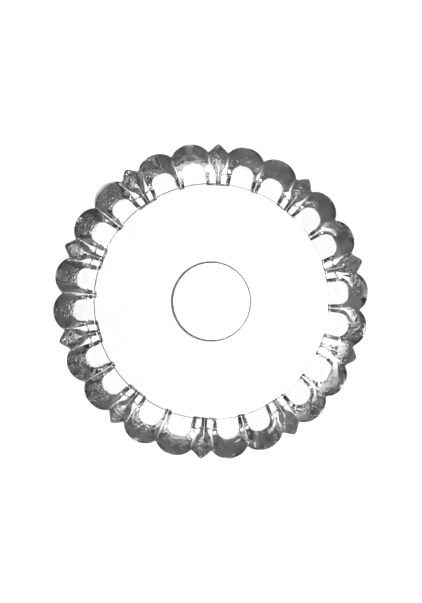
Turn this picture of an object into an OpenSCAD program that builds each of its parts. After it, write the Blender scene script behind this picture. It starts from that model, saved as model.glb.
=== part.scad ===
// Candle drip ring (bobeche): one clear pressed-glass plate with a plain centre hole,
// a flat well and an upturned rim of paired round lobes with a pointed bead between
// the pairs. Millimetres. +Z runs up through the hole, the foot stands on z = 0 and
// one pointed bead lies on +X.

/* [Plate] */
// Overall diameter over the round lobes
outer_d = 102; // [92:1:124]
// Thickness of the flat well floor
plate_t = 4; // [3:0.1:5]
// Diameter of the flat well inside the rim
well_d = 76; // [70:1:80]
// Height of the small step around the well
well_step = 0.8; // [0.5:0.1:1.2]

/* [Centre hole] */
// Diameter of the straight part of the hole
hole_d = 25; // [20:0.5:32]
// Radial flare at the top of the hole
hole_flare = 0.6; // [0.3:0.1:1]
// Height of the flare below the well floor
flare_h = 1.4; // [0.8:0.1:1.8]
// Bevel at the underside of the hole
hole_bevel = 0.4; // [0.2:0.1:0.6]

/* [Rim] */
// Number of repeats of two round lobes and one pointed bead
groups = 10; // [9:1:12]
// Height of the lower edge of the lip above the foot
lip_z = 7.4; // [6.4:0.1:8.8]
// Height of the lobe crests above the lower edge of the lip
crest_h = 2.4; // [2:0.1:3]
// Radius of the dome on top of each round lobe
dome_r = 9.5; // [9:0.1:12]
// Reach of a pointed bead, inside the overall radius
bead_inset = 0.45; // [0.2:0.05:1]

/* [Hidden] */
$fn = 96;
eps = 0.01;
turn = 200;                             // keeps the start line of a round face buried
outer_r = outer_d / 2;
well_r = well_d / 2;
hole_r = hole_d / 2;

// the rim is shared out by angle: two lobes and one bead in every group
group_a = 360 / groups;
lobe_a = group_a * 0.1972;              // half width of a round lobe
bead_a = group_a * 0.1056;              // half width of a pointed bead
lobe_at = bead_a + lobe_a;              // from a bead to its neighbour lobe

// round lobe in plan: a circle that touches the overall diameter
lobe_k = 1.2 * sin(lobe_a);
lobe_r = outer_r * lobe_k / (1 + lobe_k);
lobe_c = outer_r - lobe_r;
valley_r = lobe_c * cos(lobe_a)
         + sqrt(lobe_r * lobe_r - pow(lobe_c * sin(lobe_a), 2));

// foot pad of a lobe, and the leaning cone that joins it to the lip
pad_r = 0.52 * lobe_r;
pad_c = lobe_c - 0.42 * lobe_r;
lean = atan((lobe_c - pad_c) / lip_z);
cone_l = lip_z / cos(lean);
cone_k = (lobe_r * cos(lean) * 1.01 - pad_r) / cone_l;   // radius gained along it
cone_down = 2;                          // run of the cone below the foot, cut off
cone_up = 6;                            // run of the cone above the lip

// finger: the foot pad carried inward to the edge of the well, with sloping sides
finger_w = 0.93 * pad_r;                // half width of its flat foot
finger_h = plate_t - 0.1;
finger_flare = finger_h / tan(62);
finger_in = 2;                          // run buried under the well floor

// dome on a lobe: a ball through the lip and the inner start of the lobe
crest_z = lip_z + crest_h;
dome_z = crest_z - dome_r;
dome_c = outer_r - sqrt(dome_r * dome_r - pow(lip_z + 1.3 - dome_z, 2));

// web: the plain dish that the lobes and beads grow out of
web_r = valley_r - 0.3;
web_under = lip_z - 1.3;
web_top = lip_z + 0.2;
web_edge = 0.6;                         // bulge of its outer edge

// pointed bead: two equal arcs in plan, a leaning cone below, a ball on top
bead_tip = outer_r - bead_inset;
bead_w = 0.98 * 0.98 * outer_r * sin(bead_a) * 0.98;     // half width
bead_l = 4.1;                           // from its widest place to its point
bead_r = (bead_l * bead_l + bead_w * bead_w) / (2 * bead_w);
bead_c = bead_tip - bead_l;
bead_start = well_r + 0.4;              // where the cone begins
bead_rise = 37;                         // slope of its axis
bead_cone = 15.5;                       // half angle of the cone
bead_run = 20;                          // length of the cone
bead_ball = 6;
bead_crest = crest_z - 0.7;

// the lathe-turned middle: foot, well, step and rising web
module web() {
    rotate([0, 0, 5]) rotate_extrude()
        polygon([
            [0, 0], [well_r, 0],
            [web_r, web_under], [web_r + web_edge, (web_under + web_top) / 2],
            [web_r, web_top],
            [well_r + 0.3, plate_t + well_step], [well_r, plate_t], [0, plate_t]
        ]);
}

// one round lobe on the +X side
module lobe() {
    intersection() {
        translate([lobe_c, 0, 0]) rotate([0, 0, turn]) cylinder(h = crest_z + 1, r = lobe_r);
        translate([pad_c, 0, 0]) rotate([0, lean, 0]) translate([0, 0, -cone_down])
            rotate([0, 0, turn]) cylinder(h = cone_down + cone_l + cone_up,
                     r1 = pad_r - cone_k * cone_down,
                     r2 = pad_r + cone_k * (cone_l + cone_up));
        translate([dome_c, 0, dome_z]) rotate([0, 0, turn]) sphere(r = dome_r);
    }
}

// the radial finger below one round lobe, on the +X side
module finger() {
    translate([well_r - finger_in, 0, 0]) rotate([90, 0, 90])
        linear_extrude(height = pad_c - well_r + finger_in)
            polygon([
                [-finger_w, 0], [finger_w, 0],
                [finger_w + finger_flare, finger_h], [-finger_w - finger_flare, finger_h]
            ]);
}

// one pointed bead on the +X side
module bead() {
    intersection() {
        translate([bead_c, bead_r - bead_w, 0]) cylinder(h = crest_z, r = bead_r);
        translate([bead_c, bead_w - bead_r, 0]) cylinder(h = crest_z, r = bead_r);
        translate([bead_start, 0, 0.8]) rotate([0, 90 - bead_rise, 0])
            rotate([0, 0, turn]) cylinder(h = bead_run, r1 = 0.4, r2 = 0.4 + bead_run * tan(bead_cone));
        translate([bead_c - 0.5, 0, bead_crest - bead_ball]) rotate([0, 0, turn])
            sphere(r = bead_ball);
    }
}

// everything taken away for the centre hole
module hole() {
    translate([0, 0, -1]) cylinder(h = plate_t + 2, r = hole_r);
    translate([0, 0, plate_t - flare_h])
        cylinder(h = flare_h + eps, r1 = hole_r, r2 = hole_r + hole_flare);
    translate([0, 0, -eps])
        cylinder(h = hole_bevel + eps, r1 = hole_r + hole_bevel, r2 = hole_r);
}

module glass_ring() {
    color([0.93, 0.96, 0.95, 0.4])
    difference() {
        union() {
            web();
            for (g = [0 : groups - 1]) rotate([0, 0, g * group_a]) {
                bead();
                for (s = [-1, 1]) rotate([0, 0, s * lobe_at]) {
                    lobe();
                    finger();
                }
            }
        }
        hole();
    }
}

glass_ring();
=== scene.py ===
import math

import bpy
import numpy as np
from mathutils import Matrix, Vector


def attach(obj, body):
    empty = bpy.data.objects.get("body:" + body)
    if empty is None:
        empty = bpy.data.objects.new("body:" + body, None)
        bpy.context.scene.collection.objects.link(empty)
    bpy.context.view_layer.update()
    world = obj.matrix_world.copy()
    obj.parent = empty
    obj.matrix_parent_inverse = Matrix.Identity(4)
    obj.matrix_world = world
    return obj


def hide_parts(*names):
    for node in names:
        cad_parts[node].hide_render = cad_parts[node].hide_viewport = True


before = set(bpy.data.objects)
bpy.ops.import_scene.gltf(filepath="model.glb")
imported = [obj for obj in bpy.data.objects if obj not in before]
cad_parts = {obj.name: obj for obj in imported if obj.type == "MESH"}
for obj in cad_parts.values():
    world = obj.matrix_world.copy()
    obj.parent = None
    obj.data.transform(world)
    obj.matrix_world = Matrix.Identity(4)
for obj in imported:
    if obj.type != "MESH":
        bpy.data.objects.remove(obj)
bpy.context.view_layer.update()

# Candle drip ring in clear pressed glass: a flat well round a plain hole, and an
# upturned rim of paired round lobes with a small pointed bead between the pairs.
# Lengths of the ring are in millimetres until its mesh is made, and those of the view,
# light, stage and materials are in metres; the frame is the model's own.
MM = 0.001
HALF_ROUND = math.pi / 2

# ---------------------------------------------------------------- sizes of the ring
HOLE_R = 12.5            # straight wall of the hole
HOLE_FLARE = 0.4         # how far the mouth of the hole opens
FLARE_H = 1.2            # height of that mouth
HOLE_BEVEL = 0.25        # softened edge under the hole
FLOOR_T = 4.0            # thickness of the well floor
WELL_R = 38.05           # edge of the flat well
WELL_STEP = 0.50         # low step round the well
STEP_RUN = 0.24          # width of that step
RIM_R = 50.88            # top of a round lobe
VALLEY_R = 48.05         # bottom of the notch between two lobes
BEAD_TIP_R = 50.6        # point of a small bead
PAD_R = 3.6              # half width of the flat foot below a lobe
PAD_C = 42.45            # where the straight sides of that foot end
PAD_ROUND = 2.95         # rounding of the foot's outer corners
LOBE_SLOPE = 1.515       # rise of the wall round a lobe's foot, per unit run
KEEL_C = 44.8            # where the keel below a bead ends
BEAD_SLOPE = 1.28        # rise of the wall round a bead's keel
LIP_R = 0.75             # rounding of the lip
LIP_LEAST = 0.7          # least thickness there
GROUPS = 10
LOBE_HALF = 7.1          # half width of a lobe, in degrees
BEAD_HALF = 3.8          # half width of a bead, in degrees
IN_R = 36.85             # where the rim's grid hands over to the plain floor
MOUTH_SOFT = 0.25        # rounding of the mouth's upper edge

# ---------------------------------------------------------------- view and light
ROLL = 14.85             # how far the ring is turned in the view
TILT = 5.0               # lean of the view to the right
VIEW_D = 0.70            # from the ring to the camera
VIEW_H = 0.1948          # height of the view at the ring
AIM_Z = 0.006            # height that the camera looks at
AIM_SIDE = 0.0002        # how far to the right of the axis it looks
FLOOR_Z = -0.75          # the pale floor, under the clear table
POOL_SHIFT = (-0.094, 0.079, 0.0)   # sets the painted pool of light a little to the right
POOL_EDGE = (0.431, 0.512)          # where the pool starts to fade, and where it ends
POOL_GLOW = (1.10, 0.01)            # how brightly the floor glows in the pool and past it
FAR_EDGE = (1.00, 1.35)             # where the floor's painted glow rises again, further out
FAR_GLOW = (0.0, 0.33)              # what that adds, nearer and further out
HORIZON = (0.00, 0.09)              # rise of a sight line from the pale band to the dim ceiling
ROOM_GLOW = (0.36, 0.013)           # brightness of that band and of the ceiling

# ---------------------------------------------------------------- marks in the glass
RIM_SKIN = (0.0440, 0.0460)         # where the pebbled skin of the rim sets in
RIM_PAINTED_SHADE = (0.0449, 0.0463)        # where the painted shade on the rim's outer band sets in
SEEDS = ((0.01806, 0.01091, 0.004), (-0.01266, -0.00859, 0.004))   # in the top of the well
SEED_R = 0.00028                    # radius of a seed
CLEAR_TINT = (0.99, 0.993, 0.988, 1.0)
# Darkest colour of the painted shade in the rim's outer band
PAINTED_SHADE_TINT = (0.40, 0.385, 0.36, 1.0)


def set_camera():
    """A camera looking almost straight down, leaning a little to the right."""
    right = Vector((math.cos(math.radians(-ROLL)), math.sin(math.radians(-ROLL)), 0))
    up = Vector((-right.y, right.x, 0))
    lean = math.radians(TILT)
    back = right * math.sin(lean) + Vector((0, 0, math.cos(lean)))
    side = right * math.cos(lean) - Vector((0, 0, math.sin(lean)))
    target = Vector((0, 0, AIM_Z)) + side * AIM_SIDE
    data = bpy.data.cameras.new("view")
    data.sensor_width = 36.0
    data.lens = 36.0 * VIEW_D / VIEW_H
    data.clip_end = 20.0
    cam = bpy.data.objects.new("view", data)
    bpy.context.collection.objects.link(cam)
    place = Matrix((side, up, back)).transposed().to_4x4()
    place.translation = target + back * VIEW_D
    cam.matrix_world = place
    bpy.context.scene.camera = cam


set_camera()


# ---------------------------------------------------------------- mesh helpers
def grid_faces(rows, cols):
    """Quads of a grid that closes on itself both ways, as an n by 4 array."""
    i = np.arange(rows)[:, None]
    j = np.arange(cols)[None, :]
    i2, j2 = (i + 1) % rows, (j + 1) % cols
    quads = np.stack([i * cols + j, i * cols + j2, i2 * cols + j2, i2 * cols + j], -1)
    return quads.reshape(-1, 4)


def mesh_piece(name, points, quads):
    """A smooth-shaded object at the origin from points in millimetres and quads."""
    mesh = bpy.data.meshes.new(name)
    mesh.vertices.add(len(points))
    mesh.vertices.foreach_set("co", (points * MM).astype(np.float32).ravel())
    mesh.loops.add(quads.size)
    mesh.loops.foreach_set("vertex_index", quads.astype(np.int32).ravel())
    mesh.polygons.add(len(quads))
    mesh.polygons.foreach_set("loop_start", np.arange(0, quads.size, 4, dtype=np.int32))
    mesh.polygons.foreach_set("use_smooth", np.ones(len(quads), dtype=bool))
    mesh.update(calc_edges=True)
    mesh.validate()
    piece = bpy.data.objects.new(name, mesh)
    bpy.context.collection.objects.link(piece)
    return piece


def soften(z, times):
    """Repeated 1-2-1 averaging along the last axis, which runs round the ring."""
    for _ in range(times):
        z = 0.25 * np.roll(z, 1, -1) + 0.5 * z + 0.25 * np.roll(z, -1, -1)
    return z


# ---------------------------------------------------------------- the ring
def rim_plan(seed=7, lobe_cols=30, bead_cols=27):
    """The rim's spans, and one entry per grid column round it.

    The rim is bead, lobe, lobe, repeated. Each is a span between two notches, and a
    column's place in its span is t from -1 to 1: on a lobe s plus 0.18 sin(pi s), which
    crowds the columns at the notches, and on a bead 0.45 s plus 0.55 s cubed, which
    crowds them at the keel. Hand-pressed unevenness moves each notch, crest, foot and
    slope by a small seeded amount, and the walls are a little less steep on the worn side.
    """
    rng = np.random.default_rng(seed)
    kinds = np.tile([0, 1, 1], GROUPS)                      # 0 bead, 1 lobe
    halves = np.where(kinds == 1, LOBE_HALF, BEAD_HALF)
    seams = np.cumsum(2 * halves) - halves[0]               # notch after each span
    seams = seams + rng.normal(0, 0.16, len(seams))
    start = np.roll(seams, 1)
    start[0] -= 360.0
    valley = VALLEY_R + rng.normal(0, 0.10, len(seams))
    middle = np.radians((start + seams) / 2)
    is_lobe = kinds == 1

    def uneven(amount):
        return rng.normal(0, amount, len(kinds))

    lobe_slope = LOBE_SLOPE * (1 - 0.01 * np.cos(middle - WORN_AT))
    spans = {
        "kind": kinds, "mid": middle,
        "crest": np.where(is_lobe, RIM_R, BEAD_TIP_R) + uneven(0.11),
        "swell": 1.0 + uneven(0.07),
        "end": np.where(is_lobe, PAD_C, KEEL_C) + uneven(0.22),
        "wide": np.where(is_lobe, PAD_R + uneven(0.08), 0.0),
        "round": np.where(is_lobe, PAD_ROUND + uneven(0.25), 0.0),
        "slope": np.where(is_lobe, lobe_slope, BEAD_SLOPE) * (1 + uneven(0.012))}
    cols = {k: [] for k in ("a", "t", "kind", "va", "vb", "crest", "swell")}
    for n in range(len(kinds)):
        count = lobe_cols if kinds[n] else bead_cols
        s = -1 + 2 * np.arange(count) / count
        t = s + 0.18 * np.sin(math.pi * s) if kinds[n] else 0.45 * s + 0.55 * s ** 3
        mid, half = (start[n] + seams[n]) / 2, (seams[n] - start[n]) / 2
        one = np.ones(count)
        cols["a"].append(np.radians(mid + half * t))
        cols["t"].append(t)
        cols["kind"].append(kinds[n] * one)
        cols["va"].append(valley[n - 1] * one)
        cols["vb"].append(valley[n] * one)
        cols["crest"].append(spans["crest"][n] * one)
        cols["swell"].append(spans["swell"][n] * one)
    return spans, {k: np.concatenate(v) for k, v in cols.items()}


def outline(c):
    """Plan radius per column.

    From the notch on one side to the notch on the other runs a straight base; a lobe
    rises from it as the arc of a circle 1.2 times as wide as the span, and a bead as
    a roof whose point is rounded.
    """
    t = c["t"]
    base = c["va"] + (c["vb"] - c["va"]) * (t + 1) / 2
    arc = (np.sqrt(1.44 - t * t) - math.sqrt(0.44)) / (1.2 - math.sqrt(0.44))
    blunt = 0.045
    roof = 1 - (np.sqrt(t * t + blunt) - math.sqrt(blunt)) / (
        math.sqrt(1 + blunt) - math.sqrt(blunt))
    rise = np.where(c["kind"] == 1, arc, roof)
    return base + (c["crest"] - base) * rise


# Sections along a radius, as pairs of radius and height: the roof under the notches, the
# upper face along a lobe's middle, and the upper face along a notch.
NOTCH_ROOF = np.array([
    (37.6, 0.0), (38.0, 0.45), (38.22, 2.1), (41.9, 2.2), (43.0, 2.5), (44.0, 3.1), (45.0, 3.9),
    (46.0, 5.2), (47.0, 7.5), (52.0, 14.0)])
CREST_TOP = np.array([
    (38.75, 4.5), (41.7, 5.75), (44.2, 6.9), (45.0, 7.25), (46.0, 7.67), (47.0, 8.05),
    (48.0, 8.39), (49.0, 8.68), (50.0, 8.91), (50.7, 9.03), (51.3, 9.05)])
NOTCH_TOP = np.array([
    (38.75, 4.5), (41.7, 5.65), (44.5, 6.85), (46.5, 7.5), (48.0, 7.8), (51.3, 7.8)])
# How much steeper a foot's wall is than its plain slope, as pairs of radius and factor. The
# walls lie back where a shallow groove crosses them, at 41.7.
LOBE_SIDE = np.array([
    (38.0, 1.05), (41.35, 1.05), (41.6, 0.55), (41.8, 0.55), (42.05, 1.0), (44.5, 1.0)])
BEAD_SIDE = np.array([
    (38.0, 1.9), (41.35, 1.9), (41.6, 0.9), (41.8, 0.9), (42.05, 1.7), (44.5, 1.0)])
WORN_AT = math.radians(-38.0)  # the side of the mould that leaves a ledge on the lobes
LEDGE_AT = 1.25          # how far from the foot's edge the ledge starts
LEDGE_RUN = 0.8          # how wide it is
LEDGE_DROP = 0.75        # how nearly level it is: 1 is level
EASE = 0.16              # width over which neighbouring faces blend


def underside(r, angle, spans):
    """Height of the rim's underside at radius r and angle.

    It is the lowest of thirty walls and a roof over the notches, blended over a small
    width. Each wall stands round one foot, a straight strip that runs out along a
    span's middle to an end with round corners; its height is the distance from the
    foot's edge times a slope. On the worn side of the mould a small ledge runs round
    one half of each lobe's foot.
    """
    low = np.interp(r, NOTCH_ROOF[:, 0], NOTCH_ROOF[:, 1])
    for n, mid in enumerate(spans["mid"]):
        is_lobe = spans["kind"][n] == 1
        lean = (angle - mid + math.pi) % (2 * math.pi) - math.pi
        near = np.abs(lean[0]) < 0.45
        lean = lean[:, near]
        across, along = np.abs(r[:, near] * np.sin(lean)), r[:, near] * np.cos(lean)
        side = LOBE_SIDE if is_lobe else BEAD_SIDE
        slope = spans["slope"][n] * np.interp(along, side[:, 0], side[:, 1])
        corner = spans["round"][n]
        away = np.hypot(np.maximum(across - (spans["wide"][n] - corner), 0.0),
                        np.maximum(along - spans["end"][n], 0.0)) - corner
        worn = np.clip(3 * math.cos(mid - WORN_AT) - 1, 0, 1) if is_lobe else 0.0
        ledge = worn * np.clip(16 * lean - 0.1, 0, 1) * LEDGE_DROP
        away = away - ledge * LEDGE_RUN * np.clip((away - LEDGE_AT) / LEDGE_RUN, 0, 1)
        ease = EASE if is_lobe else 0.15 * EASE
        wall = slope * 0.5 * (away + np.sqrt(away ** 2 + ease ** 2))
        gap = low[:, near] - wall
        low[:, near] = 0.5 * (low[:, near] + wall - np.sqrt(gap ** 2 + EASE ** 2))
    return np.maximum(low, 0.0)


def upper_face(r, c):
    """Height of the rim's upper face: the low step round the well, then a swell on
    each span, (1 - t squared) to the power 0.7, between the notches' own rise."""
    step = FLOOR_T + WELL_STEP * np.clip((r - WELL_R) / STEP_RUN, 0, 1)
    crest = np.interp(r, CREST_TOP[:, 0], CREST_TOP[:, 1])
    dip = np.interp(r, NOTCH_TOP[:, 0], NOTCH_TOP[:, 1])
    across = (1 - c["t"] ** 2) ** 0.7 * c["swell"] * np.where(c["kind"] == 1, 1.0, 0.6)
    return np.where(r > WELL_R + STEP_RUN, dip + (crest - dip) * across, step)


# Radii of the grid's inner rows, from the walls to the plain floor, crowded where the
# underside and the upper face turn sharply.
UNDER_ROWS = np.array([
    44.0, 43.6, 43.2, 42.8, 42.4, 42.1, 41.95, 41.85, 41.75, 41.65, 41.55, 41.45, 41.3,
    41.0, 40.5, 39.9, 39.3, 38.8, 38.4, 38.25, 38.1, 38.0, 37.8, 37.6, 37.4, IN_R])
UPPER_ROWS = np.array([
    44.2, 43.3, 42.4, 41.5, 40.6, 39.7, 39.1, 38.82, 38.7, 38.45, 38.33, 38.27, 38.16, 38.08,
    38.02, 37.9, 37.4, IN_R])


def rim_rows(edge, fixed, out_rows, lip_rows=11):
    """Radii from the lip inward: rows crowded on the lip's rounding, then evenly
    spaced down to the first fixed radius, then the fixed radii."""
    lip = LIP_R * (1 - np.cos(np.linspace(0, HALF_ROUND, lip_rows)))
    part = (np.arange(1, out_rows) / out_rows)[:, None]
    shoulder = edge - LIP_R
    return np.concatenate([
        edge - lip[:, None], shoulder + (fixed[0] - shoulder) * part,
        np.repeat(fixed[:, None], len(edge), 1)])


def rim_surfaces(spans, c):
    """Radii and heights of the rim's underside and upper face, from the lip inward.

    The underside stays a little below the upper face, and both close on each other at
    the lip along a half ellipse.
    """
    edge = soften(outline(c), 2)
    faces = []
    for fixed, out_rows in ((UNDER_ROWS, 16), (UPPER_ROWS, 9)):
        r = rim_rows(edge, fixed, out_rows)
        low = underside(r, np.broadcast_to(c["a"], r.shape), spans)
        top = soften(upper_face(r, c), 3)
        shut = np.sqrt(np.clip(1 - (1 - np.clip((edge - r) / LIP_R, 0, 1)) ** 2, 0, 1))
        low = np.minimum(low, top - LIP_LEAST)
        mid = (low + top) / 2
        faces.append((r, mid - (mid - low) * shut, mid + (top - mid) * shut))
    return faces[0][0], faces[0][1], faces[1][0], faces[1][2]


def ring_piece():
    """The whole ring as one closed loop of sections carried round the axis.

    A section runs from the hole outward under the floor, up round the lip, back
    inward over the rim and the well floor, and down the wall of the hole.
    """
    spans, c = rim_plan()
    r, low, r_up, top = rim_surfaces(spans, c)
    n = len(c["a"])
    q = np.linspace(0, HALF_ROUND, 5)
    mouth = HOLE_R + HOLE_FLARE

    def rings(radii, heights):
        radii, heights = np.asarray(radii, float), np.asarray(heights, float)
        return np.repeat(radii[:, None], n, 1), np.repeat(heights[:, None], n, 1)

    floor_r = np.array([14.2, 17.0, 22.0, 28.0, 33.0, 36.0])
    under = rings(floor_r, np.zeros(6))
    over = rings(floor_r[::-1], np.full(6, FLOOR_T))
    rim_in = rings(mouth + MOUTH_SOFT * (1 - np.sin(q)), FLOOR_T - MOUTH_SOFT * (1 - np.cos(q)))
    flare = rings([HOLE_R + 0.3 * HOLE_FLARE, HOLE_R + 0.04, HOLE_R, HOLE_R],
                  [FLOOR_T - 0.75 * FLARE_H, FLOOR_T - FLARE_H, FLOOR_T - FLARE_H - 0.1, 1.5])
    foot = rings(HOLE_R + HOLE_BEVEL * (1 - np.cos(q)), HOLE_BEVEL * (1 - np.sin(q)))
    radius = np.concatenate([under[0], r[::-1], r_up[1:], over[0], rim_in[0], flare[0], foot[0]])
    height = np.concatenate([under[1], low[::-1], top[1:], over[1], rim_in[1], flare[1], foot[1]])
    points = np.stack([radius * np.cos(c["a"]), radius * np.sin(c["a"]), height], -1)
    return mesh_piece("pressed_glass_ring", points.reshape(-1, 3), grid_faces(len(radius), n))


# ---------------------------------------------------------------- materials
def node_adder(tree):
    """A helper that adds a node to a tree and gives one of its outputs.

    A socket given a number has it set, and one given an output is linked to it.
    """
    def add(kind, output, sockets, **settings):
        node = tree.nodes.new(kind)
        for key, value in settings.items():
            setattr(node, key, value)
        for key, value in sockets.items():
            if isinstance(value, bpy.types.NodeSocket):
                tree.links.new(value, node.inputs[key])
            else:
                node.inputs[key].default_value = value
        return node.outputs[output]

    return add


def new_material(name):
    """A material, its shader, and the helper that adds its nodes."""
    mat = bpy.data.materials.new(name)
    mat.use_nodes = True
    return mat, mat.node_tree.nodes["Principled BSDF"], node_adder(mat.node_tree)


def add_range(add, value, span, ends, kind="LINEAR"):
    """A value carried from one range to another and held at its ends."""
    return add("ShaderNodeMapRange", "Result", {
        "Value": value, "From Min": span[0], "From Max": span[1],
        "To Min": ends[0], "To Max": ends[1]}, interpolation_type=kind)


def add_math(add, operation, first, second):
    return add("ShaderNodeMath", "Value", {0: first, 1: second}, operation=operation)


def add_axis_distance(add, where, shift=(0.0, 0.0, 0.0)):
    """The level distance of a place from the upright axis, after a shift."""
    level = add("ShaderNodeVectorMath", "Vector", {
        0: where, 1: (1.0, 1.0, 0.0), 2: shift}, operation="MULTIPLY_ADD")
    return add("ShaderNodeVectorMath", "Value", {0: level}, operation="LENGTH")


def glass_material():
    """Clear pressed glass: faint waves from the mould and two tiny seeds in the well.
    The rim, which the fire polish reaches less, has a finer pebbled skin whose small
    hollows are a little duller, and its outer band is darkened in mottled patches by
    painted shade in the base colour."""
    mat, shader, add = new_material("clear_pressed_glass")
    shader.inputs["Transmission Weight"].default_value = 1.0
    shader.inputs["IOR"].default_value = 1.5
    where = add("ShaderNodeTexCoord", "Object", {})

    def noise(scale, detail):
        return add("ShaderNodeTexNoise", "Fac", {
            "Vector": where, "Scale": scale, "Detail": detail})

    def bump(height, distance, strength, below):
        return add("ShaderNodeBump", "Normal", {
            "Height": height, "Distance": distance, "Strength": strength, **below})

    from_axis = add_axis_distance(add, where)
    on_rim = add_range(add, from_axis, RIM_SKIN, (0.0, 1.0))
    painted_shade_band = add_range(add, from_axis, RIM_PAINTED_SHADE, (0.0, 1.0))
    skin = bump(noise(90.0, 1.0), 0.00012, 1.0, {})
    for place in SEEDS:
        gap = add("ShaderNodeVectorMath", "Value", {0: where, 1: place}, operation="DISTANCE")
        dent = add_range(add, gap, (0.0, SEED_R), (0.0, 1.0), "SMOOTHSTEP")
        skin = bump(dent, 1.4 * SEED_R, 1.0, {"Normal": skin})
    pebble = add_range(add, on_rim, (0.0, 1.0), (0.25, 1.0))
    skin = bump(noise(1100.0, 2.0), 0.00012, pebble, {"Normal": skin})
    dull = add_range(add, noise(1250.0, 2.0), (0.52, 0.70), (0.0, 0.22))
    # Painted shade: a mottled darkening of the rim's outer band, mixed into the base colour
    painted_shade_mottle = add_range(add, noise(1000.0, 3.0), (0.44, 0.66), (1.0, 0.1))
    tint_and_painted_shade = add("ShaderNodeMix", "Result", {
        "Factor": add_math(add, "MULTIPLY", painted_shade_mottle, painted_shade_band),
        "A": CLEAR_TINT, "B": PAINTED_SHADE_TINT}, data_type="RGBA")
    links = mat.node_tree.links
    links.new(skin, shader.inputs["Normal"])
    links.new(add_math(add, "MULTIPLY", dull, on_rim), shader.inputs["Roughness"])
    links.new(tint_and_painted_shade, shader.inputs["Base Color"])
    return mat


def table_material():
    """A clear sheet, so that the ring stands over the bright floor far below."""
    mat, shader, _ = new_material("clear_table")
    shader.inputs["Transmission Weight"].default_value = 1.0
    shader.inputs["IOR"].default_value = 1.45
    shader.inputs["Roughness"].default_value = 0.0
    shader.inputs["Base Color"].default_value = (1.0, 1.0, 1.0, 1.0)
    return mat


def floor_material():
    """A floor whose emission paints a pool of light below the ring, is dim round the pool
    and glows pale again further out."""
    mat, shader, add = new_material("pale_floor")
    shader.inputs["Base Color"].default_value = (0.20, 0.20, 0.195, 1.0)
    shader.inputs["Roughness"].default_value = 0.9
    shader.inputs["Emission Color"].default_value = (1.0, 1.0, 1.0, 1.0)
    where = add("ShaderNodeTexCoord", "Object", {})
    from_pool = add_axis_distance(add, where, POOL_SHIFT)
    pool = add_range(add, from_pool, POOL_EDGE, POOL_GLOW, "SMOOTHSTEP")
    outer = add_range(add, add_axis_distance(add, where), FAR_EDGE, FAR_GLOW, "SMOOTHSTEP")
    # Painted light: the floor's emission is a pool of light and an outer glow set by place
    mat.node_tree.links.new(add_math(add, "ADD", pool, outer), shader.inputs["Emission Strength"])
    return mat


# ---------------------------------------------------------------- stage
def slab(name, half, low, high):
    """A flat square slab, as eight corners and six outward faces."""
    x = np.array([-1, 1, 1, -1, -1, 1, 1, -1]) * half
    y = np.array([-1, -1, 1, 1, -1, -1, 1, 1]) * half
    z = np.array([low] * 4 + [high] * 4)
    quads = np.array([(3, 2, 1, 0), (4, 5, 6, 7), (0, 1, 5, 4), (1, 2, 6, 5), (2, 3, 7, 6),
                      (3, 0, 4, 7)])
    piece = mesh_piece(name, np.stack([x, y, z], -1) / MM, quads)
    piece.data.polygons.foreach_set("use_smooth", np.zeros(6, dtype=bool))
    return piece


def set_stage():
    """The pale floor, and the clear table that carries the ring above it."""
    floor = slab("pale_floor", 6.0, FLOOR_Z - 0.01, FLOOR_Z)
    floor.data.materials.append(floor_material())
    table = slab("clear_table", 1.2, -0.0056, -0.0001)
    table.data.materials.append(table_material())


def soft_box(name, place, size, watts):
    """A soft rectangular lamp that faces the ring."""
    lamp = bpy.data.lights.new(name, "AREA")
    lamp.shape = "RECTANGLE"
    lamp.size, lamp.size_y = size
    lamp.energy = watts
    obj = bpy.data.objects.new(name, lamp)
    bpy.context.collection.objects.link(obj)
    obj.location = place
    obj.rotation_euler = (-Vector(place)).to_track_quat("-Z", "Y").to_euler()


def set_lights():
    """Four small soft lamps above the ring, the key lamp at the back left."""
    soft_box("key_lamp", (-0.55, 0.45, 0.85), (0.32, 0.22), 3.4)
    soft_box("back_lamp", (0.35, 0.65, 0.85), (0.22, 0.16), 1.3)
    soft_box("low_lamp", (-0.25, -0.70, 0.85), (0.22, 0.16), 1.2)
    soft_box("top_lamp", (-0.03, 0.0, 1.0), (0.12, 0.12), 1.2)


def set_world():
    """A room that is pale at eye level and dim above it."""
    world = bpy.data.worlds.new("studio")
    bpy.context.scene.world = world
    world.use_nodes = True
    background = world.node_tree.nodes["Background"]
    background.inputs["Color"].default_value = (1.0, 0.95, 0.90, 1.0)
    add = node_adder(world.node_tree)
    sight_line = add("ShaderNodeTexCoord", "Generated", {})
    rise = add("ShaderNodeSeparateXYZ", "Z", {0: sight_line})
    glow = add_range(add, rise, HORIZON, ROOM_GLOW, "SMOOTHSTEP")
    world.node_tree.links.new(glow, background.inputs["Strength"])


ring = ring_piece()
ring.data.materials.append(glass_material())
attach(ring, "root")
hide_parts("glass_ring")
set_stage()
set_lights()
set_world()
scene = bpy.context.scene
scene.view_settings.view_transform = "Standard"
scene.cycles.max_bounces = 24
scene.cycles.transmission_bounces = 18
scene.cycles.glossy_bounces = 10
